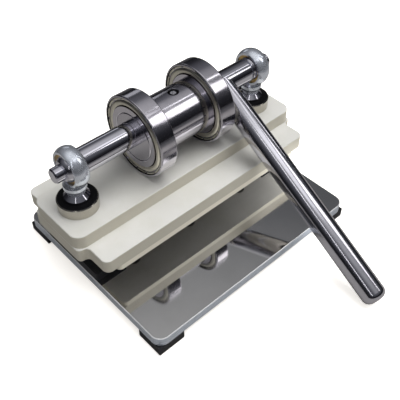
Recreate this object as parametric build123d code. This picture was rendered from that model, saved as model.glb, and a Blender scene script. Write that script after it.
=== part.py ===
from build123d import *
import math
import os

# Hand lever press for sheets of dough, in millimetres, +Z up.
# A cam shaft runs along X above a pressing head. Two ball bearings sit on an eccentric sleeve on
# that shaft and push the head down when the lever is pulled forward (towards -Y) and down. The
# head slides on two guide posts, and a rod end on top of each post carries one end of the shaft.
# The model is laid out from the plane of the posts and the shaft (Y = 0 there), from the bench
# (Z = 0) and from the middle of the machine (X = 0). Saving moves it along Y so that the origin
# is the middle of the overall box at rest. Rest is the lever down, at the bottom of the stroke.

# ---------------------------------------------------------------- driving dimensions
# base plate and feet
BASE_LENGTH = 210.0
BASE_MIDDLE_X = -2.0
BASE_FRONT = 108.0
BASE_BACK = 63.0
BASE_THICKNESS = 9.0
BASE_CORNER = 9.0
BASE_EDGE = 0.6
FOOT_SIDE = 24.0
FOOT_HEIGHT = 9.0
FOOT_INSET = 0.3
FOOT_EDGE = 0.8
FOOT_SCREW_HEAD = 8.0
FOOT_SCREW_HEAD_HEIGHT = 2.6
FOOT_SCREW_SHANK = 4.0
FOOT_SCREW_GRIP = 6.0
FOOT_SCREW_RECESS = 3.6

# guide posts, their screws, springs and the rubber mats under the springs
POST_X = 92.0
POST_DIAMETER = 20.0
POST_HEIGHT = 64.5
POST_CHAMFER_SHARE = 0.15
POST_SCREW_SHANK = 8.0
POST_SCREW_HEAD = 15.0
POST_SCREW_CONE = 3.5
POST_SCREW_DEPTH = 16.0
SOCKET_DEPTH = 2.6
MAT_HEIGHT = 8.0
MAT_REACH = 14.0
MAT_MARGIN = 0.8
MAT_HALF_DEPTH = 33.5
SPRING_WIRE = 2.2
SPRING_TURNS = 3.0
WASHER_THICKNESS = 1.0

# pressing head: bar, plate, pad and their screws
THROAT = 21.0
BAR_LENGTH = 230.0
BAR_DEPTH = 58.0
BAR_THICKNESS = 12.0
PLATE_LENGTH = 214.0
PLATE_DEPTH = 103.0
PLATE_THICKNESS = 12.0
PAD_LENGTH = 193.0
PAD_DEPTH = 103.0
PAD_THICKNESS = 5.0
BAR_CORNER = 9.0
PLATE_CORNER = 5.5
PLATE_HOLLOW = 0.5
PAD_CORNER = 4.0
HEAD_EDGE = 0.5
PLATE_SCREW_X = (-62.0, 0.0, 62.0)
PLATE_SCREW_Y = 20.0
PLATE_SCREW_SHANK = 6.0
PLATE_SCREW_HEAD = 11.5
PLATE_SCREW_CONE = 2.8
PLATE_SCREW_DEPTH = 7.0

# linear ball bushes in the head
BUSH_OUTER = 32.0
BUSH_LENGTH = 42.0
BUSH_PROUD = 9.2
BUSH_CHAMFER = 0.6
BUSH_SEAL = 2.4
BUSH_RIM = 0.8
BUSH_BALL = 3.0
BUSH_ROWS = 5
BUSH_BALLS_PER_ROW = 8
BUSH_BALL_PITCH = 3.6

# rollers: deep groove ball bearings 40 x 68 x 15 with two shields
ROLLER_OUTER = 68.0
ROLLER_BORE = 40.0
ROLLER_WIDTH = 15.0
ROLLER_SPACING = 60.4
ROLLER_MIDDLE = 1.2
ROLLER_INNER_LAND = 50.4
ROLLER_OUTER_LAND = 59.6
ROLLER_BALL = 7.94
ROLLER_BALL_COUNT = 12
ROLLER_CORNER = 1.0
SHIELD_OUTER = 63.4
SHIELD_INNER = 51.8
SHIELD_GROOVE = 64.4
SHIELD_BAND = 59.2
SHIELD_BAND_RISE = 0.6
SHIELD_SHEET = 0.5
SHIELD_RECESS = 0.9
CAGE_THICKNESS = 2.4
CAGE_WIDTH = 7.0
CAGE_PLAY = 0.15

# eccentric sleeve, its set screw, shaft and lever
THROW = 4.5
SLEEVE_SHOULDER = 43.6
SET_SCREW_DIAMETER = 8.0
SET_SCREW_LENGTH = 6.4
SET_SCREW_SOCKET = 4.0
SET_SCREW_X = 4.3
SET_SCREW_LEAD = 0.7
SHAFT_DIAMETER = 20.0
STUB_DIAMETER = 12.0
STUB_PROUD = 8.0
STUB_CHAMFER = 1.0
LEVER_X = 55.0
LEVER_DIAMETER = 20.0
LEVER_LENGTH = 212.2
LEVER_DROP = 27.6
LEVER_LEAN = 2.5
LEVER_END = 6.0
LEVER_TANG = 10.0
LEVER_TANG_DEPTH = 6.0

# rod ends: 12 mm bore, crowned eye 32 mm across
EYE_OUTER = 32.4
EYE_FACE = 28.4
EYE_WIDTH = 12.0
LINER_OUTER = 24.8
BALL_DIAMETER = 22.2
BALL_WIDTH = 16.0
NECK_STEP = 0.9
NECK_SHOULDER = 18.0
NECK_RISE = 6.0
LINER_WIDTH = 8.4
SHANK_SHARE = 0.6
SHANK_IN_POST = 20.0

# named clearances
SLIDE_FIT = 0.05
RUN_FIT = 0.04
THREAD_FIT = 0.02
RACE_FIT = 0.03
ROLLER_GAP = 0.4
PAD_GAP = 1.0
MAT_GAP = 0.5
WASHER_GAP = 0.7
WASHER_STEP = 0.5
SPRING_GAP = 1.9

# ---------------------------------------------------------------- sizes that follow others
POST_CHAMFER = POST_DIAMETER * POST_CHAMFER_SHARE
SHANK_DIAMETER = POST_DIAMETER * SHANK_SHARE
NECK_DIAMETER = SHANK_DIAMETER + 2 * NECK_STEP
MAT_HOLE = POST_DIAMETER + 2 * MAT_GAP
MAT_INNER_X = POST_X - MAT_REACH
SPRING_MEAN = POST_DIAMETER + 2 * SPRING_GAP + SPRING_WIRE
WASHER_OUTER = BUSH_OUTER - 2 * WASHER_STEP
WASHER_BORE = POST_DIAMETER + 2 * WASHER_GAP
PAD_NOTCH = BUSH_OUTER + 2 * PAD_GAP
BUSH_SEAL_OUTER = BUSH_OUTER - 2 * BUSH_RIM

# ---------------------------------------------------------------- heights and places
base_top = FOOT_HEIGHT + BASE_THICKNESS
base_middle_y = (BASE_BACK - BASE_FRONT) / 2
pad_bottom = base_top + THROAT
plate_bottom = pad_bottom + PAD_THICKNESS
bar_bottom = plate_bottom + PLATE_THICKNESS
bar_top = bar_bottom + BAR_THICKNESS
bush_top = bar_top + BUSH_PROUD
bush_bottom = bush_top - BUSH_LENGTH
cam_z = bar_top + ROLLER_GAP + ROLLER_OUTER / 2
shaft_z = cam_z + THROW
post_top = base_top + POST_HEIGHT
mat_top = base_top + MAT_HEIGHT
washer_bottom = bush_bottom - WASHER_THICKNESS
shoulder_x = POST_X - BALL_WIDTH / 2
stub_end_x = POST_X + BALL_WIDTH / 2 + STUB_PROUD
roller_places = {side: ROLLER_MIDDLE + sign * ROLLER_SPACING / 2 for side, sign in (("left", -1), ("right", 1))}
ball_pitch_radius = (ROLLER_INNER_LAND + ROLLER_OUTER_LAND) / 4
SIDES = (("left", -1), ("right", 1))

drop, lean = math.radians(LEVER_DROP), math.radians(LEVER_LEAN)
forward, down = math.cos(lean) * math.cos(drop), math.cos(lean) * math.sin(drop)
lever_direction = Vector(-math.sin(lean), -forward, -down)


def lever_extent(component):
    """How far the rounded end of the lever reaches from the shaft along one axis."""
    along = (LEVER_LENGTH - LEVER_END) * abs(component)
    across = (LEVER_DIAMETER / 2 - LEVER_END) * math.sqrt(1 - component**2)
    return along + across + LEVER_END


post_y = (lever_extent(lever_direction.Y) - BASE_BACK) / 2


def save(node, shape):
    """Write one node, moved so that the origin is the middle of the overall box."""
    placed = Pos(0, post_y, 0) * shape
    placed.label = node
    export_step(placed, f"parts/{node}.step")


def group(solids):
    return Compound(list(solids))


def upright(diameter, low, high, x=0.0, y=0.0):
    """A vertical cylinder between two heights."""
    middle = Pos(x, y, (low + high) / 2)
    return middle * Cylinder(diameter / 2, high - low)


def along_x(diameter, low, high, y=0.0, z=0.0):
    """A cylinder along X between two stations."""
    return Pos((low + high) / 2, y, z) * Rot(0, 90, 0) * Cylinder(diameter / 2, high - low)


def slab(length, depth, corner, low, high, x=0.0, y=0.0):
    sketch = Pos(x, y) * RectangleRounded(length, depth, corner)
    return Pos(0, 0, low) * extrude(sketch, high - low)


def hexagon(across, low, high, x=0.0, y=0.0):
    sketch = RegularPolygon(across / 2, 6, major_radius=False)
    return Pos(x, y, low) * extrude(sketch, high - low)


def flat_edges(shape, *heights):
    """The edges that lie in horizontal planes at the given heights."""
    found = [e for e in shape.edges() if abs(e.bounding_box().size.Z) < 1e-6]
    return [e for e in found if any(abs(e.center().Z - h) < 1e-6 for h in heights)]


# ---------------------------------------------------------------- base and feet
def foot_places():
    x = BASE_LENGTH / 2 - FOOT_INSET - FOOT_SIDE / 2
    front = -BASE_FRONT + FOOT_INSET + FOOT_SIDE / 2
    back = BASE_BACK - FOOT_INSET - FOOT_SIDE / 2
    places = {}
    for side, sign in SIDES:
        places[f"front_{side}"] = (BASE_MIDDLE_X + sign * x, front)
        places[f"back_{side}"] = (BASE_MIDDLE_X + sign * x, back)
    return places


def base_plate():
    depth = BASE_FRONT + BASE_BACK
    plate = slab(BASE_LENGTH, depth, BASE_CORNER, FOOT_HEIGHT, base_top, BASE_MIDDLE_X, base_middle_y)
    plate = chamfer(flat_edges(plate, FOOT_HEIGHT, base_top), BASE_EDGE)
    for _, sign in SIDES:
        plate -= upright(POST_SCREW_SHANK + 2 * THREAD_FIT, FOOT_HEIGHT, base_top, sign * POST_X)
        plate -= screw_cone(POST_SCREW_HEAD, POST_SCREW_SHANK, POST_SCREW_CONE, FOOT_HEIGHT, sign * POST_X, 0,
                            THREAD_FIT)
    for x, y in foot_places().values():
        plate -= upright(FOOT_SCREW_SHANK + 2 * THREAD_FIT, FOOT_HEIGHT, FOOT_HEIGHT + FOOT_SCREW_GRIP + 1, x, y)
    return plate


def screw_cone(head, shank, cone, bottom, x, y, gap=0.0):
    """A countersunk head that narrows upwards from the given height."""
    return Pos(x, y, bottom + cone / 2) * Cone(head / 2 + gap, shank / 2 + gap, cone)


def foot(x, y):
    body = Pos(x, y, FOOT_HEIGHT / 2) * Box(FOOT_SIDE, FOOT_SIDE, FOOT_HEIGHT)
    body = chamfer(flat_edges(body, 0), FOOT_EDGE)
    body -= upright(FOOT_SCREW_HEAD + 1.0, 0, FOOT_SCREW_RECESS, x, y)
    body -= upright(FOOT_SCREW_SHANK + 2 * THREAD_FIT, 0, FOOT_HEIGHT, x, y)
    return body


def foot_screw(x, y):
    head_low = FOOT_SCREW_RECESS - FOOT_SCREW_HEAD_HEIGHT
    head = upright(FOOT_SCREW_HEAD, head_low, FOOT_SCREW_RECESS, x, y)
    head = fillet(flat_edges(head, head_low), FOOT_SCREW_HEAD_HEIGHT / 2)
    shank = upright(FOOT_SCREW_SHANK, FOOT_SCREW_RECESS, FOOT_HEIGHT + FOOT_SCREW_GRIP, x, y)
    slot = Pos(x, y, head_low) * (Box(5.0, 1.0, 2.4) + Box(1.0, 5.0, 2.4))
    return head + shank - slot


def post_screw(x):
    cone = screw_cone(POST_SCREW_HEAD, POST_SCREW_SHANK, POST_SCREW_CONE, FOOT_HEIGHT, x, 0)
    shank = upright(POST_SCREW_SHANK, FOOT_HEIGHT + POST_SCREW_CONE, base_top + POST_SCREW_DEPTH, x)
    socket = hexagon(5.0, FOOT_HEIGHT, FOOT_HEIGHT + SOCKET_DEPTH, x)
    return cone + shank - socket


# ---------------------------------------------------------------- posts, mats and springs
def guide_post(x):
    post = upright(POST_DIAMETER, base_top, post_top, x)
    post = chamfer(flat_edges(post, post_top), POST_CHAMFER)
    post -= upright(SHANK_DIAMETER + 2 * THREAD_FIT, post_top - SHANK_IN_POST - 2, post_top, x)
    post -= upright(POST_SCREW_SHANK + 2 * THREAD_FIT, base_top, base_top + POST_SCREW_DEPTH + 2, x)
    return post


def spring_mat(sign):
    inner = sign * MAT_INNER_X
    outer = BASE_MIDDLE_X + sign * (BASE_LENGTH / 2 - MAT_MARGIN)
    mat = Pos((inner + outer) / 2, 0, base_top + MAT_HEIGHT / 2)
    mat *= Box(abs(outer - inner), 2 * MAT_HALF_DEPTH, MAT_HEIGHT)
    mat = fillet(mat.edges().filter_by(Axis.Z), 1.5)
    return mat - upright(MAT_HOLE, base_top, mat_top, sign * POST_X)


def return_spring(x):
    """An open coil with ground ends, held between the mat and the washer under the bush."""
    height = washer_bottom - mat_top - SPRING_WIRE / 2
    helix = Helix(height / SPRING_TURNS, height, SPRING_MEAN / 2)
    section = Plane(origin=helix @ 0, z_dir=helix % 0) * Circle(SPRING_WIRE / 2)
    coil = Pos(x, 0, mat_top + SPRING_WIRE / 4) * sweep(section, path=helix, is_frenet=True)
    return coil & upright(SPRING_MEAN + 4 * SPRING_WIRE, mat_top, washer_bottom, x)


# ---------------------------------------------------------------- pressing head
def bush_holes(shape, low, high):
    for _, sign in SIDES:
        shape -= upright(BUSH_OUTER + 2 * THREAD_FIT, low, high, sign * POST_X)
    return shape


def plate_screw_places():
    return [(x, y) for x in PLATE_SCREW_X for y in (-PLATE_SCREW_Y, PLATE_SCREW_Y)]


def screw_holes(shape, low, high):
    for x, y in plate_screw_places():
        shape -= upright(PLATE_SCREW_SHANK + 2 * THREAD_FIT, low, high, x, y)
    return shape


def press_bar():
    bar = slab(BAR_LENGTH, BAR_DEPTH, BAR_CORNER, bar_bottom, bar_top)
    bar = chamfer(flat_edges(bar, bar_top), HEAD_EDGE)
    bar = screw_holes(bar, bar_bottom, bar_bottom + PLATE_SCREW_DEPTH + 1)
    return bush_holes(bar, bar_bottom, bar_top)


def press_plate():
    """A cross: two tongues as long as the bar and a deeper middle."""
    sketch = Rectangle(BAR_LENGTH, BAR_DEPTH) + Rectangle(PLATE_LENGTH, PLATE_DEPTH)
    plate = Pos(0, 0, plate_bottom) * extrude(sketch, PLATE_THICKNESS)
    tongue = (BAR_LENGTH - PLATE_LENGTH) / 2
    uprights = plate.edges().filter_by(Axis.Z)
    ends = [e for e in uprights if abs(e.center().X) > PLATE_LENGTH / 2 + tongue / 2]
    corners = [e for e in uprights if abs(e.center().Y) > BAR_DEPTH / 2 + tongue / 2]
    hollows = [e for e in uprights if e not in ends and e not in corners]
    plate = fillet(corners, PLATE_CORNER)
    plate = fillet(match(plate, hollows), tongue * PLATE_HOLLOW)
    plate = fillet(match(plate, ends), tongue * (1 - PLATE_HOLLOW) - 0.1)
    plate = chamfer(flat_edges(plate, bar_bottom), HEAD_EDGE)
    plate = screw_holes(plate, plate_bottom, bar_bottom)
    return bush_holes(plate, plate_bottom, bar_bottom)


def match(shape, wanted):
    """The edges of a changed shape that stand where the wanted edges stood."""
    places = [e.center() for e in wanted]
    return [e for e in shape.edges().filter_by(Axis.Z) if any((e.center() - p).length < 1e-3 for p in places)]


def press_pad():
    pad = slab(PAD_LENGTH, PAD_DEPTH, PAD_CORNER, pad_bottom, plate_bottom)
    for _, sign in SIDES:
        pad -= upright(PAD_NOTCH, pad_bottom, plate_bottom, sign * POST_X)
    for x, y in plate_screw_places():
        pad -= screw_cone(PLATE_SCREW_HEAD, PLATE_SCREW_SHANK, PLATE_SCREW_CONE, pad_bottom, x, y, THREAD_FIT)
    return screw_holes(pad, pad_bottom, plate_bottom)


def plate_screw(x, y):
    cone = screw_cone(PLATE_SCREW_HEAD, PLATE_SCREW_SHANK, PLATE_SCREW_CONE, pad_bottom, x, y)
    shank = upright(PLATE_SCREW_SHANK, pad_bottom + PLATE_SCREW_CONE, bar_bottom + PLATE_SCREW_DEPTH, x, y)
    return cone + shank - hexagon(4.0, pad_bottom, pad_bottom + SOCKET_DEPTH, x, y)


# ---------------------------------------------------------------- linear ball bushes
bush_ball_radius = POST_DIAMETER / 2 + RACE_FIT + BUSH_BALL / 2
bush_race = 2 * (bush_ball_radius + BUSH_BALL / 2 + RACE_FIT)


def bush_shell(x):
    shell = upright(BUSH_OUTER, bush_bottom, bush_top, x)
    shell = chamfer(flat_edges(shell, bush_bottom, bush_top), BUSH_CHAMFER)
    shell -= upright(bush_race, bush_bottom, bush_top, x)
    for low in (bush_bottom, bush_top - BUSH_SEAL):
        shell -= upright(BUSH_SEAL_OUTER, low, low + BUSH_SEAL, x)
    return shell


def bush_seals(x):
    rings = []
    for low in (bush_bottom, bush_top - BUSH_SEAL):
        ring = upright(BUSH_SEAL_OUTER, low, low + BUSH_SEAL, x)
        rings.append(ring - upright(POST_DIAMETER + 2 * SLIDE_FIT, low, low + BUSH_SEAL, x))
    return group(rings)


def bush_ball_places(x):
    """Where each ball sits: its own X axis points away from the post."""
    middle = (bush_bottom + bush_top) / 2
    places = []
    for row in range(BUSH_ROWS):
        for step in range(BUSH_BALLS_PER_ROW):
            rise = (step - (BUSH_BALLS_PER_ROW - 1) / 2) * BUSH_BALL_PITCH
            places.append(Pos(x, 0, middle + rise) * Rot(0, 0, 360 * row / BUSH_ROWS) * Pos(bush_ball_radius, 0, 0))
    return places


def bush_balls(x):
    return group(place * Sphere(BUSH_BALL / 2) for place in bush_ball_places(x))


def bush_cage(x):
    low, high = bush_bottom + BUSH_SEAL, bush_top - BUSH_SEAL
    wall = BUSH_BALL / 3
    cage = upright(2 * (bush_ball_radius + wall / 2), low, high, x)
    cage -= upright(2 * (bush_ball_radius - wall / 2), low, high, x)
    pocket = Rot(0, 90, 0) * Cylinder(BUSH_BALL / 2 + CAGE_PLAY, 4 * wall)
    return cage - [place * pocket for place in bush_ball_places(x)]


def spring_washer(x):
    washer = upright(WASHER_OUTER, washer_bottom, bush_bottom, x)
    return washer - upright(WASHER_BORE, washer_bottom, bush_bottom, x)


# ---------------------------------------------------------------- rod ends on the posts
def rod_end(x):
    near, far, face = x - EYE_WIDTH / 2, x + EYE_WIDTH / 2, EYE_FACE / 2
    crown = ThreePointArc((near, face), (x, EYE_OUTER / 2), (far, face))
    section = make_face(crown + Polyline((far, face), (far, 0), (near, 0), (near, face)))
    eye = Pos(0, 0, shaft_z) * revolve(section, Axis.X, 360)
    waist, shoulder = NECK_DIAMETER / 2, NECK_SHOULDER / 2
    heights = [post_top, post_top + NECK_RISE, shaft_z - EYE_OUTER / 2 + 0.5, shaft_z - LINER_OUTER / 2]
    outline = list(zip([waist, shoulder, shoulder, waist], heights))
    sketch = Polyline((0, heights[0]), *outline, (0, heights[-1]), close=True)
    neck = Pos(x, 0, 0) * revolve(Plane.XZ * make_face(sketch), Axis.Z, 360)
    shank = upright(SHANK_DIAMETER, post_top - SHANK_IN_POST, post_top, x)
    body = eye + neck + shank
    return body - along_x(LINER_OUTER, x - NECK_DIAMETER, x + NECK_DIAMETER, 0, shaft_z)


def rod_end_liner(x):
    liner = along_x(LINER_OUTER, x - LINER_WIDTH / 2, x + LINER_WIDTH / 2, 0, shaft_z)
    return liner - Pos(x, 0, shaft_z) * Sphere(BALL_DIAMETER / 2 + RUN_FIT)


def rod_end_ball(x):
    ball = Pos(x, 0, shaft_z) * Sphere(BALL_DIAMETER / 2)
    ball &= along_x(BALL_DIAMETER, x - BALL_WIDTH / 2, x + BALL_WIDTH / 2, 0, shaft_z)
    return ball - along_x(STUB_DIAMETER, x - BALL_WIDTH / 2, x + BALL_WIDTH / 2, 0, shaft_z)


# ---------------------------------------------------------------- shaft, sleeve and lever
lever_frame = Plane(origin=(LEVER_X, 0, shaft_z), x_dir=(1, 0, 0), z_dir=lever_direction)


def along_lever(diameter, near, far):
    return lever_frame * (Pos(0, 0, (near + far) / 2) * Cylinder(diameter / 2, far - near))


def cam_shaft():
    shaft = along_x(SHAFT_DIAMETER, -shoulder_x, shoulder_x, 0, shaft_z)
    for _, sign in SIDES:
        near, far = sorted((sign * shoulder_x, sign * stub_end_x))
        stub = along_x(STUB_DIAMETER, near, far, 0, shaft_z)
        tip = [e for e in stub.edges() if abs(e.center().X - sign * stub_end_x) < 1e-6]
        shaft += chamfer([e for e in tip if e.geom_type == GeomType.CIRCLE], STUB_CHAMFER)
    return shaft - along_lever(LEVER_TANG + 2 * THREAD_FIT, -LEVER_TANG_DEPTH - 0.5, SHAFT_DIAMETER)


def eccentric_sleeve():
    half = ROLLER_SPACING / 2 + ROLLER_WIDTH / 2
    land = ROLLER_SPACING / 2 - ROLLER_WIDTH / 2
    sleeve = along_x(ROLLER_BORE, ROLLER_MIDDLE - half, ROLLER_MIDDLE + half, 0, cam_z)
    sleeve = chamfer([e for e in sleeve.edges() if e.geom_type == GeomType.CIRCLE], ROLLER_CORNER / 2)
    sleeve += along_x(SLEEVE_SHOULDER, ROLLER_MIDDLE - land, ROLLER_MIDDLE + land, 0, cam_z)
    sleeve -= along_x(SHAFT_DIAMETER, ROLLER_MIDDLE - half, ROLLER_MIDDLE + half, 0, shaft_z)
    hole, top = SET_SCREW_DIAMETER / 2 + THREAD_FIT, cam_z + SLEEVE_SHOULDER / 2
    sleeve -= upright(2 * hole, shaft_z, top + SLEEVE_SHOULDER, SET_SCREW_X)
    return sleeve - Pos(SET_SCREW_X, 0, top) * Cone(hole, hole + 2 * SET_SCREW_LEAD, 2 * SET_SCREW_LEAD)


def sleeve_set_screw():
    low = shaft_z + SHAFT_DIAMETER / 2
    screw = upright(SET_SCREW_DIAMETER, low, low + SET_SCREW_LENGTH, SET_SCREW_X)
    screw = chamfer(flat_edges(screw, low, low + SET_SCREW_LENGTH), 0.6)
    top = low + SET_SCREW_LENGTH
    return screw - hexagon(SET_SCREW_SOCKET, top - 3.2, top, SET_SCREW_X)


def lever():
    bar = along_lever(LEVER_DIAMETER, 0, LEVER_LENGTH)
    tip = lever_frame.origin + lever_direction * LEVER_LENGTH
    rings = [e for e in bar.edges() if e.geom_type == GeomType.CIRCLE]
    bar = fillet([e for e in rings if (e.arc_center - tip).length < 1e-3], LEVER_END)
    bar -= along_x(SHAFT_DIAMETER, LEVER_X - LEVER_DIAMETER, LEVER_X + LEVER_DIAMETER, 0, shaft_z)
    return bar + along_lever(LEVER_TANG, -LEVER_TANG_DEPTH, SHAFT_DIAMETER)


# ---------------------------------------------------------------- rollers
def race_groove(middle):
    """The groove the balls run in, cut from either ring."""
    circle = Pos(middle, ball_pitch_radius) * Circle(ROLLER_BALL / 2 + RACE_FIT)
    return Pos(0, 0, cam_z) * revolve(circle, Axis.X, 360)


def plain_ring(inner, outer, low, high, corners):
    ring = along_x(outer, low, high, 0, cam_z) - along_x(inner, low, high, 0, cam_z)
    edges = [e for e in ring.edges() if e.geom_type == GeomType.CIRCLE and abs(e.radius - corners / 2) < 1e-6]
    return fillet(edges, ROLLER_CORNER)


def outer_ring(middle):
    low, high = middle - ROLLER_WIDTH / 2, middle + ROLLER_WIDTH / 2
    ring = plain_ring(ROLLER_OUTER_LAND, ROLLER_OUTER, low, high, ROLLER_OUTER)
    seat = SHIELD_RECESS + SHIELD_SHEET
    for near, far in ((low, low + seat), (high - seat, high)):
        ring -= along_x(SHIELD_OUTER, near, far, 0, cam_z)
    for near, far in ((low, low + SHIELD_RECESS), (high - SHIELD_RECESS, high)):
        ring -= along_x(SHIELD_GROOVE, near, far, 0, cam_z)
    return ring - race_groove(middle)


def inner_ring(middle):
    low, high = middle - ROLLER_WIDTH / 2, middle + ROLLER_WIDTH / 2
    ring = plain_ring(ROLLER_BORE, ROLLER_INNER_LAND, low, high, ROLLER_BORE)
    return ring - race_groove(middle)


def roller_shields(middle):
    discs = []
    for sign in (-1, 1):
        face = middle + sign * (ROLLER_WIDTH / 2 - SHIELD_RECESS)
        near, far = sorted((face, face - sign * SHIELD_SHEET))
        disc = along_x(SHIELD_OUTER, near, far, 0, cam_z)
        near, far = sorted((face + sign * SHIELD_BAND_RISE, face - sign * SHIELD_SHEET))
        disc += along_x(SHIELD_BAND, near, far, 0, cam_z)
        discs.append(disc - along_x(SHIELD_INNER, near, far, 0, cam_z))
    return group(discs)


def roller_ball_places(middle):
    places = []
    for step in range(ROLLER_BALL_COUNT):
        angle = 2 * math.pi * step / ROLLER_BALL_COUNT
        y, z = ball_pitch_radius * math.cos(angle), cam_z + ball_pitch_radius * math.sin(angle)
        places.append((middle, y, z))
    return places


def roller_balls(middle):
    return group(Pos(*place) * Sphere(ROLLER_BALL / 2) for place in roller_ball_places(middle))


def ball_cage(middle):
    inner = 2 * ball_pitch_radius - CAGE_THICKNESS
    outer = 2 * ball_pitch_radius + CAGE_THICKNESS
    low, high = middle - CAGE_WIDTH / 2, middle + CAGE_WIDTH / 2
    cage = along_x(outer, low, high, 0, cam_z) - along_x(inner, low, high, 0, cam_z)
    return cage - [Pos(*place) * Sphere(ROLLER_BALL / 2 + CAGE_PLAY) for place in roller_ball_places(middle)]


# ---------------------------------------------------------------- save every node
os.makedirs("parts", exist_ok=True)
save("base_plate", base_plate())
for place, (x, y) in foot_places().items():
    save(f"foot_{place}", foot(x, y))
save("foot_screws", group(foot_screw(x, y) for x, y in foot_places().values()))
save("post_screws", group(post_screw(sign * POST_X) for _, sign in SIDES))
save("press_bar", press_bar())
save("press_plate", press_plate())
save("press_pad", press_pad())
save("plate_screws", group(plate_screw(x, y) for x, y in plate_screw_places()))
for side, sign in SIDES:
    post_x = sign * POST_X
    save(f"spring_mat_{side}", spring_mat(sign))
    save(f"guide_post_{side}", guide_post(post_x))
    save(f"return_spring_{side}", return_spring(post_x))
    save(f"spring_washer_{side}", spring_washer(post_x))
    save(f"bush_shell_{side}", bush_shell(post_x))
    save(f"bush_seals_{side}", bush_seals(post_x))
    save(f"bush_balls_{side}", bush_balls(post_x))
    save(f"bush_cage_{side}", bush_cage(post_x))
    save(f"rod_end_{side}", rod_end(post_x))
    save(f"rod_end_liner_{side}", rod_end_liner(post_x))
    save(f"rod_end_ball_{side}", rod_end_ball(post_x))
    middle = roller_places[side]
    save(f"outer_ring_{side}", outer_ring(middle))
    save(f"inner_ring_{side}", inner_ring(middle))
    save(f"roller_shields_{side}", roller_shields(middle))
    save(f"roller_balls_{side}", roller_balls(middle))
    save(f"ball_cage_{side}", ball_cage(middle))
save("cam_shaft", cam_shaft())
save("eccentric_sleeve", eccentric_sleeve())
save("sleeve_set_screw", sleeve_set_screw())
save("lever", lever())
print("moved along Y by", round(post_y, 4), "shaft at Z", shaft_z, "cam at Z", cam_z)
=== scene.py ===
import math

import bmesh
import bpy
from mathutils import Matrix, Vector


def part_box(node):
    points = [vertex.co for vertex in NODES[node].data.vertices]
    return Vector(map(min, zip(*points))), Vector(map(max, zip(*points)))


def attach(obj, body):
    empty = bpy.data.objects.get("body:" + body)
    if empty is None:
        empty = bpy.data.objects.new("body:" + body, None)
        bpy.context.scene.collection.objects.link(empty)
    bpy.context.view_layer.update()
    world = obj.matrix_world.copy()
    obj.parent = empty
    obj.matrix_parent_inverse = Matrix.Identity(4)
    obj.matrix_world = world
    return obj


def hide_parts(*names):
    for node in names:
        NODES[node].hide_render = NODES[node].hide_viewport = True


bl_info = {
    "name": "Hand lever dough press",
    "version": (1, 0, 0),
    "blender": (4, 5, 0),
    "location": "3D View > Sidebar > Dough press",
    "description": "Finishes and fine pieces for a bench-top hand lever press for sheets of dough",
    "category": "Object",
}

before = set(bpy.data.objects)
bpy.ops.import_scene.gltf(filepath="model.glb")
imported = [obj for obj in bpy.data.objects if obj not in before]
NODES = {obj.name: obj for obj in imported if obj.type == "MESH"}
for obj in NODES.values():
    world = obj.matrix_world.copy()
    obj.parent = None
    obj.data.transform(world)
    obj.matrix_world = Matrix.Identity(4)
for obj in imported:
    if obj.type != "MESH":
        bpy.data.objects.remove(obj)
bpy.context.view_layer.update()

MM = 0.001
FULL_TURN = 2 * math.pi
SIDES = ("left", "right")


def middle(node):
    """The middle of a node's box at rest."""
    low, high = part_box(node)
    return (Vector(low) + Vector(high)) / 2


def toned(tint, share):
    """A colour made darker, or paler by a share above 1."""
    return tuple(share * part for part in tint)


# ---------------------------------------------------------------- shader building
class Sock:
    """A shader value that takes part in ordinary arithmetic."""

    def __init__(self, tree, socket):
        self.tree = tree
        self.socket = socket

    def _math(self, operation, *values):
        return self.tree.add("ShaderNodeMath", {"operation": operation}, dict(enumerate(values)))

    def __add__(self, other):
        return self._math("ADD", self, other)

    def __sub__(self, other):
        return self._math("SUBTRACT", self, other)

    def __mul__(self, other):
        return self._math("MULTIPLY", self, other)

    def __pow__(self, other):
        return self._math("POWER", self, other)

    def __radd__(self, other):
        return self._math("ADD", other, self)

    def __rsub__(self, other):
        return self._math("SUBTRACT", other, self)

    def __rmul__(self, other):
        return self._math("MULTIPLY", other, self)

    def __abs__(self):
        return self._math("ABSOLUTE", self)

    def clamped(self):
        """Held between 0 and 1."""
        return self._math("MAXIMUM", self._math("MINIMUM", self, 1.0), 0.0)

    def smooth(self, low, high):
        """0 below low, 1 above high, and an even rise between them."""
        return self.tree.add("ShaderNodeMapRange", {"interpolation_type": "SMOOTHSTEP"},
                             {"Value": self, "From Min": low, "From Max": high, "To Min": 0.0, "To Max": 1.0})


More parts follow.
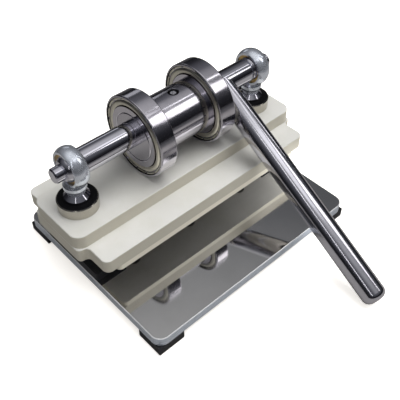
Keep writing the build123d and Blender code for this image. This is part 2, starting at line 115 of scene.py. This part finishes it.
class Finish:
    """A material with its node tree and the few calls that fill it."""

    def __init__(self, name, base, metallic, roughness, **uniform):
        self.material = bpy.data.materials.new(name)
        self.material.use_nodes = True
        self.nodes = self.material.node_tree.nodes
        self.links = self.material.node_tree.links
        self.nodes.clear()
        self.shader = self.nodes.new("ShaderNodeBsdfPrincipled")
        out = self.nodes.new("ShaderNodeOutputMaterial")
        self.links.new(self.shader.outputs[0], out.inputs[0])
        self.shader.inputs["Base Color"].default_value = (*base, 1.0)
        self.shader.inputs["Metallic"].default_value = metallic
        self.shader.inputs["Roughness"].default_value = roughness
        for socket, value in uniform.items():
            self.shader.inputs[socket.replace("_", " ")].default_value = value
        self.bump = None

    def add(self, kind, settings=None, values=None, output=0):
        """One node of any type, with its settings first and then the values or links of its sockets."""
        node = self.nodes.new(kind)
        for name, setting in (settings or {}).items():
            setattr(node, name, setting)
        for name, value in (values or {}).items():
            if isinstance(value, Sock):
                self.links.new(value.socket, node.inputs[name])
            else:
                node.inputs[name].default_value = value
        return Sock(self, node.outputs[output])

    def feed(self, socket, value):
        """Lead a shader value into one of the surface's sockets."""
        self.links.new(value.socket, self.shader.inputs[socket])

    def place(self, centre=(0, 0, 0), scale=(1, 1, 1)):
        """Object coordinates about a centre, in metres, stretched by a scale."""
        coords = self.add("ShaderNodeTexCoord", output="Object")
        moved = self.add("ShaderNodeVectorMath", {"operation": "SUBTRACT"}, {0: coords, 1: centre})
        return self.add("ShaderNodeVectorMath", {"operation": "MULTIPLY"}, {0: moved, 1: scale})

    def split(self, vector):
        """The three parts of a vector."""
        node = self.nodes.new("ShaderNodeSeparateXYZ")
        self.links.new(vector.socket, node.inputs[0])
        return [Sock(self, node.outputs[i]) for i in range(3)]

    def facing(self):
        """The surface normal's three parts."""
        return self.split(self.add("ShaderNodeNewGeometry", output="Normal"))

    def noise(self, vector, scale, detail=3.0):
        """Cloudy noise between 0 and 1."""
        values = {"Vector": vector, "Scale": scale, "Detail": detail, "Roughness": 0.55}
        return self.add("ShaderNodeTexNoise", {}, values)

    def mix(self, factor, first, second):
        """A colour between two colours."""
        values = {0: factor}
        for index, colour in ((6, first), (7, second)):
            values[index] = colour if isinstance(colour, Sock) else (*colour, 1.0)
        return self.add("ShaderNodeMix", {"data_type": "RGBA"}, values, output=2)

    def bumped(self, height, strength, distance):
        """Add a fine relief on top of any that is there."""
        values = {"Height": height, "Strength": strength, "Distance": distance}
        if self.bump:
            values["Normal"] = self.bump
        self.bump = self.add("ShaderNodeBump", {}, values)
        self.feed("Normal", self.bump)


def wear(finish, vector, scale, low, high):
    """Soft cloudy patches between 0 and 1."""
    return finish.noise(vector, scale, 4.0).smooth(low, high)


def from_axis(first, second):
    """How far a place lies from an axis, from its two parts across it."""
    return (first * first + second * second) ** 0.5


# Tones that no setting changes, and the two radii between which the shade in a screw hole fades out.
GRIME = (0.52, 0.47, 0.38)
DUST = (0.12, 0.12, 0.12)
# Near white: a painted highlight for the chamfered rim of the base.
RIM_HIGHLIGHT = (0.93, 0.94, 0.96)
# Near black: painted shade for the grooves and joints of the bearings.
GROOVE_SHADE = (0.006, 0.006, 0.007)
HOLE_SHADE = (0.004, 0.004, 0.005)
SCREW_BLACK = (0.02, 0.02, 0.022)
SCREW_WORN = (0.05, 0.05, 0.054)
# Near white: a painted highlight for the set screw's socket.
SOCKET_HIGHLIGHT = (0.88, 0.88, 0.90)
SHADE_START = 4.15 * MM
SHADE_END = 4.45 * MM


# ---------------------------------------------------------------- finishes
def milled_plastic(look, name="warm_white_plastic", painted_light=1.0):
    """Warm white sheet plastic with milled edges, faint cutter marks and handling smudges; the sides are
    darker and tanner as painted shade.
    """
    tones = (look.plastic, look.plastic_shade, look.plastic_side_shade)
    # A lift above 1 makes a paler copy of this plastic: on the pad it is painted light, standing in for the
    # light that the mirror base throws up under the head.
    top, shade, edge = (toned(tone, painted_light) for tone in tones)
    finish = Finish(name, top, 0.0, 0.42, Specular_IOR_Level=0.42, Coat_Weight=0.08, Coat_Roughness=0.3)
    place = finish.place()
    _, _, up = finish.facing()
    side = 1.0 - abs(up).smooth(0.3, 0.75)
    cloud = wear(finish, place, 38.0, 0.35, 0.7)
    grime = wear(finish, place, 210.0, 0.55, 0.8)
    body = finish.mix(cloud, top, shade)
    # Painted shade: the side faces take a darker, tanner tone than the tops, as if less lit from above.
    body = finish.mix(side * 0.85, body, edge)
    body = finish.mix(grime * 0.12, body, GRIME)
    finish.feed("Base Color", body)
    finish.feed("Roughness", 0.34 + 0.14 * cloud + 0.16 * side)
    cutter = finish.noise(finish.place(scale=(180.0, 180.0, 2600.0)), 1.0, 2.0)
    skin = finish.noise(place, 1900.0, 2.0)
    finish.bumped(cutter * side, 0.16, 0.0002)
    finish.bumped(skin, 0.06, 0.00015)
    return finish.material


def mirror_plate(look):
    """Polished stainless sheet: a mirror with faint haze, fine random scratches, brushed cut edges and a
    painted highlight on the chamfered rim.
    """
    finish = Finish("mirror_steel", look.mirror, 1.0, 0.06)
    place = finish.place()
    _, _, up = finish.facing()
    side = 1.0 - abs(up).smooth(0.4, 0.8)
    haze = wear(finish, place, 26.0, 0.3, 0.75)
    fine = finish.noise(finish.place(scale=(60.0, 900.0, 60.0)), 1.0, 3.0)
    cross = finish.noise(finish.place(scale=(1100.0, 45.0, 60.0)), 1.0, 3.0)
    streak = (fine.smooth(0.62, 0.74) + cross.smooth(0.64, 0.76)).clamped()
    grain = finish.noise(finish.place(scale=(40.0, 40.0, 2400.0)), 1.0, 3.0)
    colour = finish.mix(haze * 0.5, look.mirror, look.mirror_haze)
    colour = finish.mix(side, colour, look.mirror_edge)
    # Painted highlight: the chamfered rim between the top and the edge is drawn near white and less metallic,
    # as a line of bright reflected light.
    rim = abs(up).smooth(0.3, 0.45) * (1.0 - abs(up).smooth(0.85, 0.97))
    colour = finish.mix(rim, colour, RIM_HIGHLIGHT)
    finish.feed("Base Color", colour)
    finish.feed("Roughness", 0.035 + 0.05 * haze + 0.08 * streak + side * (0.14 + 0.18 * grain))
    finish.feed("Metallic", 1.0 - 0.55 * (side + rim).clamped())
    finish.bumped(streak, 0.02, 0.0001)
    finish.bumped(grain * side, 0.10, 0.0001)
    return finish.material


def polished_bar(name, centre, axis, tint, base_roughness=0.05):
    """Ground and polished round bar: the light runs along it, with faint rings left by the grinder."""
    finish = Finish(name, tint, 1.0, base_roughness)
    along = [60.0, 60.0, 60.0]
    along[axis] = 2200.0
    rings = finish.noise(finish.place(centre, along), 1.0, 2.0)
    place = finish.place(centre)
    haze = wear(finish, place, 70.0, 0.4, 0.75)
    rub = wear(finish, place, 420.0, 0.6, 0.85)
    colour = finish.mix(haze * 0.35, tint, toned(tint, 0.82))
    finish.feed("Base Color", colour)
    finish.feed("Roughness", base_roughness + 0.05 * haze + 0.10 * rub + 0.03 * rings)
    finish.bumped(rings, 0.05, 0.00006)
    return finish.material


def ground_ring(name, centre, tint, roughness, shade_lines=(), hole=None, turning_marks=1.0):
    """Ground steel turned about X: lathe rings on the flat faces and a fine polish on the running face.

    Shade lines are (radius, half width) in millimetres, where painted shade darkens a groove or joint. Hole
    is the middle of a screw hole from above.
    """
    finish = Finish(name, tint, 1.0, roughness)
    place = finish.place(centre)
    _, y, z = finish.split(place)
    radius = from_axis(y, z)
    side, _, _ = finish.facing()
    flat = abs(side).smooth(0.6, 0.95) * turning_marks
    turning = finish.add("ShaderNodeCombineXYZ", {}, {0: radius * 4200.0, 1: 0.0, 2: 0.0})
    lathe = finish.noise(turning, 1.0, 3.0)
    fine = finish.noise(finish.place(centre, (3200.0, 90.0, 90.0)), 1.0, 2.0)
    cloud = wear(finish, place, 90.0, 0.35, 0.75)
    colour = finish.mix(flat * lathe, tint, toned(tint, 0.72))
    colour = finish.mix(cloud * 0.3, colour, toned(tint, 0.78))
    for shade_radius, width in shade_lines:
        # Painted shade: a near-black line round the axis where a groove or joint lies in shade.
        groove_shade = 1.0 - abs(radius - shade_radius * MM).smooth(width * MM * 0.6, width * MM)
        colour = finish.mix(groove_shade, colour, GROOVE_SHADE)
    if hole:
        across, along, _ = finish.split(finish.place(hole))
        inside = 1.0 - from_axis(across, along).smooth(SHADE_START, SHADE_END)
        colour = finish.mix(inside, colour, HOLE_SHADE)
    finish.feed("Base Color", colour)
    finish.feed("Roughness", roughness + 0.16 * flat * lathe + 0.06 * cloud + 0.03 * fine)
    finish.bumped(lathe * flat, 0.12, 0.00008)
    return finish.material


def satin_zinc(look, name="zinc_steel"):
    """Zinc plate over a forging: satin, with a soft mottle and slightly rough skin."""
    finish = Finish(name, look.zinc, look.zinc_metal, 0.24)
    place = finish.place()
    mottle = wear(finish, place, 260.0, 0.3, 0.7)
    skin = finish.noise(place, 1400.0, 3.0)
    colour = finish.mix(mottle, look.zinc, toned(look.zinc, 0.93))
    finish.feed("Base Color", colour)
    finish.feed("Roughness", 0.15 + 0.07 * mottle + 0.04 * skin)
    finish.bumped(skin, 0.04, 0.0001)
    finish.bumped(mottle, 0.015, 0.0001)
    return finish.material


def black_rubber(look, name="black_rubber", tone=1.0):
    """Moulded rubber, faintly clouded, with a little dust."""
    dark = toned(look.rubber, tone)
    finish = Finish(name, dark, 0.0, 0.6, Specular_IOR_Level=0.32 * tone)
    place = finish.place()
    cloud = wear(finish, place, 120.0, 0.35, 0.75)
    dust = finish.noise(place, 900.0, 3.0).smooth(0.55, 0.8)
    colour = finish.mix(cloud, dark, toned(dark, 1.8))
    colour = finish.mix(dust * 0.12 * tone, colour, DUST)
    finish.feed("Base Color", colour)
    finish.feed("Roughness", 0.52 + 0.18 * cloud)
    finish.bumped(finish.noise(place, 2600.0, 2.0), 0.25, 0.0001)
    return finish.material


def plain_metal(name, tint, roughness, metallic=1.0):
    """An unpolished small part, faintly clouded and grained."""
    finish = Finish(name, tint, metallic, roughness)
    place = finish.place()
    cloud = wear(finish, place, 150.0, 0.35, 0.75)
    grain = finish.noise(place, 600.0, 3.0)
    finish.feed("Base Color", finish.mix(cloud, tint, toned(tint, 0.75)))
    finish.feed("Roughness", roughness + 0.12 * cloud + 0.06 * grain)
    finish.bumped(grain, 0.08, 0.0001)
    return finish.material


def socket_screw(name, centre, reach):
    """Blackened screw with a painted highlight in its hexagon socket."""
    finish = Finish(name, SCREW_BLACK, 1.0, 0.24)
    place = finish.place(centre)
    x, y, _ = finish.split(place)
    # Painted highlight: round its middle the socket is drawn near white, for the glints in its facets.
    socket_highlight = 1.0 - from_axis(x, y).smooth(reach * 0.85, reach)
    grain = finish.noise(place, 900.0, 3.0)
    dark = finish.mix(grain, SCREW_BLACK, SCREW_WORN)
    finish.feed("Base Color", finish.mix(socket_highlight, dark, SOCKET_HIGHLIGHT))
    finish.feed("Roughness", 0.16 + 0.14 * grain)
    finish.bumped(grain, 0.08, 0.0001)
    return finish.material


# ---------------------------------------------------------------- settings
def colour_prop(name, description, default):
    return bpy.props.FloatVectorProperty(name=name, description=description, default=default, subtype="COLOR",
                                         size=3, min=0.0, max=1.0)


def number_prop(name, description, default, low=0.0, high=1.0, **kind):
    return bpy.props.FloatProperty(name=name, description=description, default=default, min=low, max=high,
                                   **kind)


def count_prop(name, description, default, low, high):
    return bpy.props.IntProperty(name=name, description=description, default=default, min=low, max=high)


def place_prop(name, description, default):
    return bpy.props.FloatVectorProperty(name=name, description=description, default=default, size=3,
                                         subtype="TRANSLATION", unit="LENGTH")


def light_prop(name, description, default):
    return bpy.props.FloatProperty(name=name, description=description, default=default, min=0.0)


class PressLook(bpy.types.PropertyGroup):
    """Colours of the press."""

    plastic: colour_prop("Plastic", "Top faces of the bar, plate and pad", (0.585, 0.580, 0.555))
    plastic_shade: colour_prop("Plastic shade", "Cloudy patches in the plastic", (0.545, 0.540, 0.505))
    # The side tone is painted shade: the sides are the same plastic, drawn darker and tanner as if less lit.
    plastic_side_shade: colour_prop("Plastic side", "Milled sides of the plastic", (0.50, 0.47, 0.385))
    # The pad's extra lightness is painted light, for the light thrown up under the head by the mirror base.
    pad_painted_light: number_prop("Pad lightness", "How much paler the pad is than the bar", 1.5, 0.5, 1.7)
    mirror: colour_prop("Mirror", "Polished face of the base", (0.63, 0.625, 0.62))
    mirror_haze: colour_prop("Mirror haze", "Hazy patches of the base", (0.52, 0.515, 0.505))
    mirror_edge: colour_prop("Base edge", "Cut edge of the base", (0.50, 0.54, 0.61))
    chrome: colour_prop("Bar steel", "Shaft and posts", (0.66, 0.655, 0.72))
    lever: colour_prop("Lever steel", "Polished lever", (0.58, 0.575, 0.63))
    race: colour_prop("Bearing steel", "Bearing rings and sleeve", (0.62, 0.60, 0.655))
    bush: colour_prop("Bush steel", "Ground outer shells of the linear bushes", (0.50, 0.475, 0.42))
    shield: colour_prop("Bearing shield", "Pressed shields of the bearings", (0.80, 0.765, 0.66))
    zinc: colour_prop("Zinc plate", "Rod ends and washers", (0.74, 0.78, 0.86))
    zinc_metal: number_prop("Zinc lustre", "How mirror-like the zinc plate is", 0.84)
    brass: colour_prop("Liner", "Sliding liner of the rod ends", (0.72, 0.50, 0.22))
    rubber: colour_prop("Rubber", "Feet, mats and seals", (0.010, 0.010, 0.012))
    screw: colour_prop("Screw steel", "Screws and springs", (0.30, 0.30, 0.31))
    bush_cage: colour_prop("Bush cage", "Moulded ball cages in the bushes", (0.03, 0.03, 0.03))
    bearing_cage: colour_prop("Bearing cage", "Oiled balls and cages of the rollers", (0.012, 0.012, 0.013))


class PressSizes(bpy.types.PropertyGroup):
    """Sizes of the fine pieces."""

    shield_lugs: count_prop("Shield lugs", "Crimped lugs round a bearing shield", 16, 6, 40)
    lug_gap: number_prop("Lug gap", "Share of the pitch left open between two lugs", 0.2, 0.02, 0.6)
    band_steps: count_prop("Band steps", "Steps round the band of a shield", 128, 24, 256)
    lug_steps: count_prop("Lug steps", "Steps along one lug", 8, 2, 24)


class PressStage(bpy.types.PropertyGroup):
    """Camera and light."""

    eye: place_prop("Camera place", "Where the camera stands", (-0.2510, -0.2424, 0.4132))
    target: place_prop("Camera target", "What the camera looks at", (0.0010, 0.0322, 0.0211))
    focal: number_prop("Focal length", "Focal length on a 36 mm sensor", 57.27, 10.0, 200.0)
    shift_x: number_prop("Shift X", "Sideways shift of the frame", 0.005, -1.0)
    shift_y: number_prop("Shift Y", "Upward shift of the frame", 0.0236, -1.0)
    key: light_prop("Soft box", "Brightness of the soft box at the front right", 2.0)
    top: light_prop("Overhead", "Brightness of the overhead panels", 0.7)
    side: light_prop("Back panel", "Brightness of the panel behind", 0.5)
    streak: light_prop("Streaks", "Brightness of the narrow strips", 2.4)
    fill: light_prop("Fill", "Brightness of the fills that metals don't mirror", 4.4)
    bounce: light_prop("Throat light", "Brightness of a small helper light in the throat", 9.0)
    glow: light_prop("Floor glow", "How much the floor lights itself for the eye", 0.62)
    world: light_prop("Surroundings", "Brightness of the dark room that all but the eye sees", 0.8)
    floor_reach: number_prop("Lit floor", "Radius of floor that reflections show as lit", 0.34, 0.05, 10.0,
                             subtype="DISTANCE", unit="LENGTH")


# ---------------------------------------------------------------- fine pieces
# Half sections of a shield and of one crimped lug, as millimetres from the middle of the bearing and from
# its axis: from the inner edge over the domed band to the flat rim, and back along the inside.
SHIELD_OUTLINE = ((6.10, 25.9), (6.70, 25.9), (7.02, 26.4), (7.20, 27.2), (7.22, 28.0), (7.08, 28.8),
                  (6.75, 29.4), (6.30, 29.75), (6.05, 30.1), (6.00, 31.7), (5.60, 31.7), (5.55, 29.6),
                  (5.90, 27.8))
LUG_OUTLINE = ((6.00, 30.4), (6.45, 30.5), (6.80, 30.9), (6.92, 31.3), (6.80, 31.75), (6.40, 31.98),
               (6.00, 32.0))

# Painted shade in grooves and joints, as (radius, half width) in millimetres: round the lugs in the outer
# ring's groove, and at the foot of the shield's band.
RACE_SHADE_LINES = ((32.15, 0.35),)
SHIELD_SHADE_LINES = ((30.15, 0.5),)

# How far the painted highlight in the socket reaches from the middle of the set screw.
SOCKET_HIGHLIGHT_REACH = 2.6 * MM


def sweep_outline(mesh, outline, start, sweep, steps):
    """Spin a closed outline of (x, radius) millimetres about X, through all or part of a turn.

    The ends of a part turn are closed.
    """
    turn = Matrix.Rotation(start, 3, "X")
    ring = [mesh.verts.new(turn @ Vector((x * MM, 0.0, radius * MM))) for x, radius in outline]
    edges = [mesh.edges.new((a, b)) for a, b in zip(ring, ring[1:] + ring[:1])]
    full = sweep > FULL_TURN - 1e-6
    bmesh.ops.spin(mesh, geom=ring + edges, cent=(0, 0, 0), axis=(1, 0, 0), angle=sweep, steps=steps,
                   use_merge=full)
    if not full:
        bmesh.ops.holes_fill(mesh, edges=[edge for edge in mesh.edges if edge.is_boundary], sides=0)


def pressed_shields(name, centre, sizes, material):
    """Both shields of a bearing: a domed band, and lugs crimped into the groove of the outer ring."""
    mesh = bmesh.new()
    pitch = FULL_TURN / sizes.shield_lugs
    for sign in (-1, 1):
        band = [(sign * x, radius) for x, radius in SHIELD_OUTLINE]
        lug = [(sign * x, radius) for x, radius in LUG_OUTLINE]
        sweep_outline(mesh, band, 0.0, FULL_TURN, sizes.band_steps)
        for step in range(sizes.shield_lugs):
            start = (step + sizes.lug_gap / 2) * pitch
            sweep_outline(mesh, lug, start, (1 - sizes.lug_gap) * pitch, sizes.lug_steps)
    bmesh.ops.remove_doubles(mesh, verts=mesh.verts, dist=1e-7)
    bmesh.ops.recalc_face_normals(mesh, faces=mesh.faces)
    bmesh.ops.translate(mesh, verts=mesh.verts, vec=centre)
    return finished(name, mesh, material)


def finished(name, mesh, material):
    """Turn a bmesh into an object at the origin, shaded smooth with corners past 35 degrees kept sharp."""
    data = bpy.data.meshes.new(name)
    mesh.to_mesh(data)
    mesh.free()
    data.shade_smooth()
    data.set_sharp_from_angle(angle=math.radians(35.0))
    data.materials.append(material)
    piece = bpy.data.objects.new(name, data)
    bpy.context.scene.collection.objects.link(piece)
    return piece


def dress(node, material):
    """Give a CAD node its finish."""
    data = NODES[node].data
    data.materials.clear()
    data.materials.append(material)


class PRESS_OT_finish_head(bpy.types.Operator):
    """Finish the plastic bar, plate and pad of the pressing head."""

    bl_idname = "press.finish_head"
    bl_label = "Finish the head"

    def execute(self, context):
        look = context.scene.press_look
        material = milled_plastic(look)
        for node in ("press_bar", "press_plate"):
            dress(node, material)
        # The pad gets a paler copy of the plastic: painted light under the head.
        dress("press_pad", milled_plastic(look, "pad_plastic_painted_light", look.pad_painted_light))
        return {"FINISHED"}


class PRESS_OT_finish_base(bpy.types.Operator):
    """Finish the mirror base, the rubber feet and the mats."""

    bl_idname = "press.finish_base"
    bl_label = "Finish the base"

    def execute(self, context):
        look = context.scene.press_look
        dress("base_plate", mirror_plate(look))
        rubber = black_rubber(look)
        for side in SIDES:
            for node in (f"foot_front_{side}", f"foot_back_{side}", f"spring_mat_{side}"):
                dress(node, rubber)
        return {"FINISHED"}


class PRESS_OT_finish_guides(bpy.types.Operator):
    """Finish the posts, guide bushes, springs and their washers."""

    bl_idname = "press.finish_guides"
    bl_label = "Finish the guides"

    def execute(self, context):
        look = context.scene.press_look
        seal = black_rubber(look, "seal_rubber", 0.3)
        spring = plain_metal("spring_steel", look.screw, 0.3)
        cage = plain_metal("cage_plastic", look.bush_cage, 0.5, metallic=0.0)
        zinc = satin_zinc(look, "washer_zinc")
        for side in SIDES:
            centre = middle(f"guide_post_{side}")
            post = polished_bar(f"post_steel_{side}", centre, 2, look.chrome)
            shell = polished_bar(f"bush_steel_{side}", centre, 2, look.bush, 0.14)
            dress(f"guide_post_{side}", post)
            dress(f"bush_shell_{side}", shell)
            dress(f"bush_balls_{side}", post)
            dress(f"bush_seals_{side}", seal)
            dress(f"bush_cage_{side}", cage)
            dress(f"return_spring_{side}", spring)
            dress(f"spring_washer_{side}", zinc)
        return {"FINISHED"}


class PRESS_OT_finish_rod_ends(bpy.types.Operator):
    """Finish the rod ends, their liners and balls."""

    bl_idname = "press.finish_rod_ends"
    bl_label = "Finish the rod ends"

    def execute(self, context):
        look = context.scene.press_look
        zinc = satin_zinc(look)
        brass = plain_metal("liner_brass", look.brass, 0.28)
        for side in SIDES:
            ball = ground_ring(f"ball_steel_{side}", middle(f"rod_end_ball_{side}"), look.chrome, 0.08)
            dress(f"rod_end_{side}", zinc)
            dress(f"rod_end_liner_{side}", brass)
            dress(f"rod_end_ball_{side}", ball)
        return {"FINISHED"}


class PRESS_OT_finish_crank(bpy.types.Operator):
    """Finish the shaft, the eccentric sleeve, its set screw and the lever."""

    bl_idname = "press.finish_crank"
    bl_label = "Finish the crank"

    def execute(self, context):
        look = context.scene.press_look
        shaft, screw = middle("cam_shaft"), middle("sleeve_set_screw")
        sleeve = ground_ring("sleeve_steel", middle("eccentric_sleeve"), look.race, 0.10, hole=screw)
        dress("cam_shaft", polished_bar("shaft_steel", shaft, 0, look.chrome))
        dress("eccentric_sleeve", sleeve)
        dress("sleeve_set_screw", socket_screw("set_screw_steel", screw, SOCKET_HIGHLIGHT_REACH))
        dress("lever", polished_bar("lever_steel", shaft, 1, look.lever, 0.09))
        return {"FINISHED"}


class PRESS_OT_finish_rollers(bpy.types.Operator):
    """Finish the bearing rings and make their pressed shields."""

    bl_idname = "press.finish_rollers"
    bl_label = "Finish the rollers"

    def execute(self, context):
        look, sizes = context.scene.press_look, context.scene.press_sizes
        cage = plain_metal("bearing_cage", look.bearing_cage, 0.4, metallic=0.3)
        for side in SIDES:
            centre = middle(f"outer_ring_{side}")
            ring = ground_ring(f"race_steel_{side}", centre, look.race, 0.10, RACE_SHADE_LINES)
            lapped = ground_ring(f"lapped_steel_{side}", centre, look.race, 0.03, turning_marks=0.1)
            dress(f"outer_ring_{side}", ring)
            dress(f"inner_ring_{side}", lapped)
            dress(f"roller_balls_{side}", cage)
            dress(f"ball_cage_{side}", cage)
            steel = ground_ring(f"shield_steel_{side}", centre, look.shield, 0.26, SHIELD_SHADE_LINES)
            dress(f"roller_shields_{side}", steel)
            shields = pressed_shields(f"pressed_shields_{side}", centre, sizes, steel)
            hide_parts(f"roller_shields_{side}")
            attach(shields, f"roller_{side}")
        return {"FINISHED"}


class PRESS_OT_finish_screws(bpy.types.Operator):
    """Finish the screws under the base and the head."""

    bl_idname = "press.finish_screws"
    bl_label = "Finish the screws"

    def execute(self, context):
        steel = plain_metal("screw_steel", context.scene.press_look.screw, 0.28)
        for node in ("foot_screws", "post_screws", "plate_screws"):
            dress(node, steel)
        return {"FINISHED"}


# ---------------------------------------------------------------- stage
# What the lights and the camera are set round, and the gap above the base where the dough goes.
FOCUS = (0.0, 0.05, 0.05)
THROAT = (0.0, 0.06, 0.039)

# The floor's tones: to the eye, and as all other rays find it.
PAPER_WHITE = (0.95, 0.945, 0.935)
PAPER_CLOUD = (0.945, 0.94, 0.93)
PAPER_GLOW = (1.0, 0.965, 0.91)
FLOOR_DARK = (0.07, 0.07, 0.073)
FLOOR_LIT = (0.30, 0.292, 0.28)
NO_GLOW = (0.0, 0.0, 0.0)

# The dark room's tone, as (height, colour) from the horizon to overhead.
ROOM_TONES = (
    (0.0, (0.012, 0.012, 0.014)),
    (0.30, (0.03, 0.031, 0.036)),
    (0.72, (0.18, 0.184, 0.20)),
    (1.0, (0.28, 0.285, 0.30)),
)

# The smaller fills' brightness, as shares of the broad fill's.
FRONT_SHARE = 0.45
LEFT_SHARE = 0.5


def panel_light(name, focus, turn, rise, distance, width, height, brightness, colour=(1.0, 1.0, 1.0)):
    """A flat soft panel: turn is measured from +Y towards +X, rise from the floor, both in degrees."""
    turn, rise = math.radians(turn), math.radians(rise)
    away = Vector((math.cos(rise) * math.sin(turn), math.cos(rise) * math.cos(turn), math.sin(rise)))
    data = bpy.data.lights.new(name, "AREA")
    data.shape = "RECTANGLE"
    data.size, data.size_y = width, height
    data.energy = brightness * width * height * math.pi
    data.color = colour
    light = bpy.data.objects.new(name, data)
    light.location = Vector(focus) + distance * away
    light.rotation_euler = (-away).to_track_quat("-Z", "Y").to_euler()
    bpy.context.scene.collection.objects.link(light)
    return light


def studio_world(brightness):
    """White to the eye; to light and reflections, a dark room that grows paler overhead."""
    world = bpy.data.worlds.new("studio")
    world.use_nodes = True
    nodes, links = world.node_tree.nodes, world.node_tree.links
    out = next(node for node in nodes if node.type == "OUTPUT_WORLD")
    seen = nodes["Background"]
    seen.inputs["Color"].default_value = (1.0, 1.0, 1.0, 1.0)
    room = nodes.new("ShaderNodeBackground")
    room.inputs["Strength"].default_value = brightness
    coords = nodes.new("ShaderNodeTexCoord")
    parts = nodes.new("ShaderNodeSeparateXYZ")
    links.new(coords.outputs["Generated"], parts.inputs[0])
    ramp = nodes.new("ShaderNodeValToRGB")
    stops = ramp.color_ramp.elements
    for height, tone in ROOM_TONES:
        stop = stops[0] if height == 0.0 else stops.new(height)
        stop.position = height
        stop.color = (*tone, 1.0)
    links.new(parts.outputs[2], ramp.inputs[0])
    links.new(ramp.outputs[0], room.inputs["Color"])
    rays = nodes.new("ShaderNodeLightPath")
    blend = nodes.new("ShaderNodeMixShader")
    links.new(rays.outputs["Is Camera Ray"], blend.inputs[0])
    links.new(room.outputs[0], blend.inputs[1])
    links.new(seen.outputs[0], blend.inputs[2])
    links.new(blend.outputs[0], out.inputs[0])
    return world


class PRESS_OT_build_stage(bpy.types.Operator):
    """Build the floor, the lights and the camera.

    The floor is pale and glows to the eye, but is dark to all other rays. The three fills and the helper
    light in the throat are left out of mirror reflections.
    """

    bl_idname = "press.build_stage"
    bl_label = "Build the stage"

    def execute(self, context):
        stage = context.scene.press_stage
        context.scene.view_settings.view_transform = "Standard"
        mesh = bmesh.new()
        bmesh.ops.create_grid(mesh, x_segments=1, y_segments=1, size=4.0)
        paper = Finish("studio_paper", PAPER_WHITE, 0.0, 0.8)
        cloud = wear(paper, paper.place(), 3.0, 0.3, 0.7)
        x, y, _ = paper.split(paper.place((0.0, 0.02, 0.0)))
        lit = 1.0 - from_axis(x, y).smooth(stage.floor_reach * 0.8, stage.floor_reach * 1.6)
        white = paper.mix(cloud, PAPER_WHITE, PAPER_CLOUD)
        eye = Sock(paper, paper.nodes.new("ShaderNodeLightPath").outputs["Is Camera Ray"])
        colour = paper.mix(lit, FLOOR_DARK, FLOOR_LIT)
        paper.feed("Base Color", paper.mix(eye, colour, white))
        paper.feed("Emission Color", paper.mix(eye, NO_GLOW, PAPER_GLOW))
        paper.shader.inputs["Emission Strength"].default_value = stage.glow
        floor = finished("studio_floor", mesh, paper.material)
        context.scene.world = studio_world(stage.world)

        panel_light("soft_box", FOCUS, 133.0, 46.0, 1.1, 0.34, 0.40, stage.key, (1.0, 0.985, 0.98))
        panel_light("overhead", FOCUS, 140.0, 66.0, 1.2, 0.5, 0.2, stage.top)
        panel_light("back_panel", FOCUS, 20.0, 22.0, 1.3, 0.5, 0.3, stage.side, (0.95, 0.97, 1.0))
        panel_light("left_high", FOCUS, -172.0, 66.0, 1.2, 0.4, 0.3, stage.top)
        for turn in (100.0, -125.0):
            panel_light("streak", FOCUS, turn, 44.0, 1.2, 0.05, 0.8, stage.streak)
        broad = panel_light("broad_fill", FOCUS, 130.0, 74.0, 1.4, 1.2, 1.2, stage.fill, (1.0, 0.995, 0.985))
        low = panel_light("front_fill", FOCUS, 165.0, 14.0, 1.4, 1.4, 0.5, stage.fill * FRONT_SHARE)
        left = panel_light("left_fill", FOCUS, -100.0, 26.0, 1.4, 0.9, 0.6, stage.fill * LEFT_SHARE)
        bounce = panel_light("mirror_bounce", THROAT, 128.0, -7.0, 0.13, 0.14, 0.012, stage.bounce)
        for light in (broad, low, left, bounce):
            light.visible_glossy = False
        bounce.visible_camera = False

        data = bpy.data.cameras.new("camera")
        data.lens = stage.focal
        data.sensor_width = 36.0
        data.shift_x, data.shift_y = stage.shift_x, stage.shift_y
        data.clip_start = 0.01
        camera = bpy.data.objects.new("camera", data)
        camera.location = stage.eye
        direction = Vector(stage.target) - Vector(stage.eye)
        camera.rotation_euler = direction.to_track_quat("-Z", "Y").to_euler()
        context.scene.collection.objects.link(camera)
        context.scene.camera = camera
        return {"FINISHED"}


OPERATORS = (
    PRESS_OT_finish_base,
    PRESS_OT_finish_guides,
    PRESS_OT_finish_head,
    PRESS_OT_finish_rod_ends,
    PRESS_OT_finish_crank,
    PRESS_OT_finish_rollers,
    PRESS_OT_finish_screws,
    PRESS_OT_build_stage,
)


class PRESS_PT_panel(bpy.types.Panel):
    """Lists the steps that dress the press."""

    bl_idname = "PRESS_PT_panel"
    bl_label = "Dough press"
    bl_space_type = "VIEW_3D"
    bl_region_type = "UI"
    bl_category = "Dough press"

    def draw(self, context):
        for group in ("press_look", "press_sizes", "press_stage"):
            settings = getattr(context.scene, group)
            box = self.layout.box()
            for name in settings.__annotations__:
                box.prop(settings, name)
        for operator in OPERATORS:
            self.layout.operator(operator.bl_idname)


GROUPS = {"press_look": PressLook, "press_sizes": PressSizes, "press_stage": PressStage}


def register():
    for group in GROUPS.values():
        bpy.utils.register_class(group)
    for name, group in GROUPS.items():
        setattr(bpy.types.Scene, name, bpy.props.PointerProperty(type=group))
    for operator in OPERATORS:
        bpy.utils.register_class(operator)
    bpy.utils.register_class(PRESS_PT_panel)


def unregister():
    bpy.utils.unregister_class(PRESS_PT_panel)
    for operator in reversed(OPERATORS):
        bpy.utils.unregister_class(operator)
    for name in GROUPS:
        delattr(bpy.types.Scene, name)
    for group in reversed(GROUPS.values()):
        bpy.utils.unregister_class(group)


def main():
    register()
    for operator in OPERATORS:
        group, name = operator.bl_idname.split(".")
        getattr(getattr(bpy.ops, group), name)()


if __name__ == "__main__":
    main()
